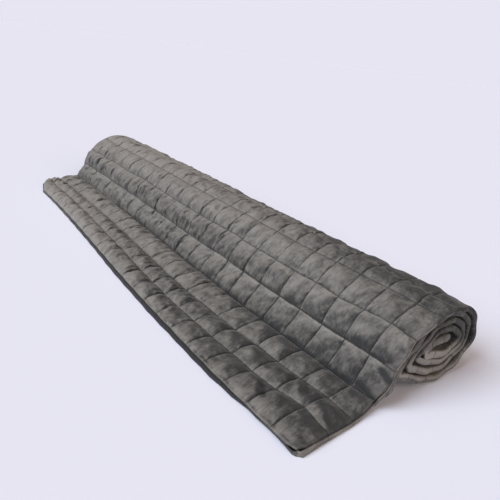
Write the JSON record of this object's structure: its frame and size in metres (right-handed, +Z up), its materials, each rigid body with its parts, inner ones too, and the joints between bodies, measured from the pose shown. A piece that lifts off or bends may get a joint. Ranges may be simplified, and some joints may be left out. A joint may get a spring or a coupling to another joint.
{
  "type": "weighted blanket",
  "caption": "Square-quilted weighted blanket in brushed plush, rolled up from one end with its last rows lying flat in front of the roll.",
  "frame": {"origin": "centre of the bounding box's underside, on the surface the blanket lies on", "axes": "+X along the roll, +Y from the free edge of the flat rows towards the roll, +Z up"},
  "size_m": [1.2188, 0.4096, 0.1485],
  "materials": {
    "charcoal_plush": "brushed plush pile"
  },
  "bodies": {
    "root": {"blanket": "charcoal_plush"}
  },
  "joints": []
}
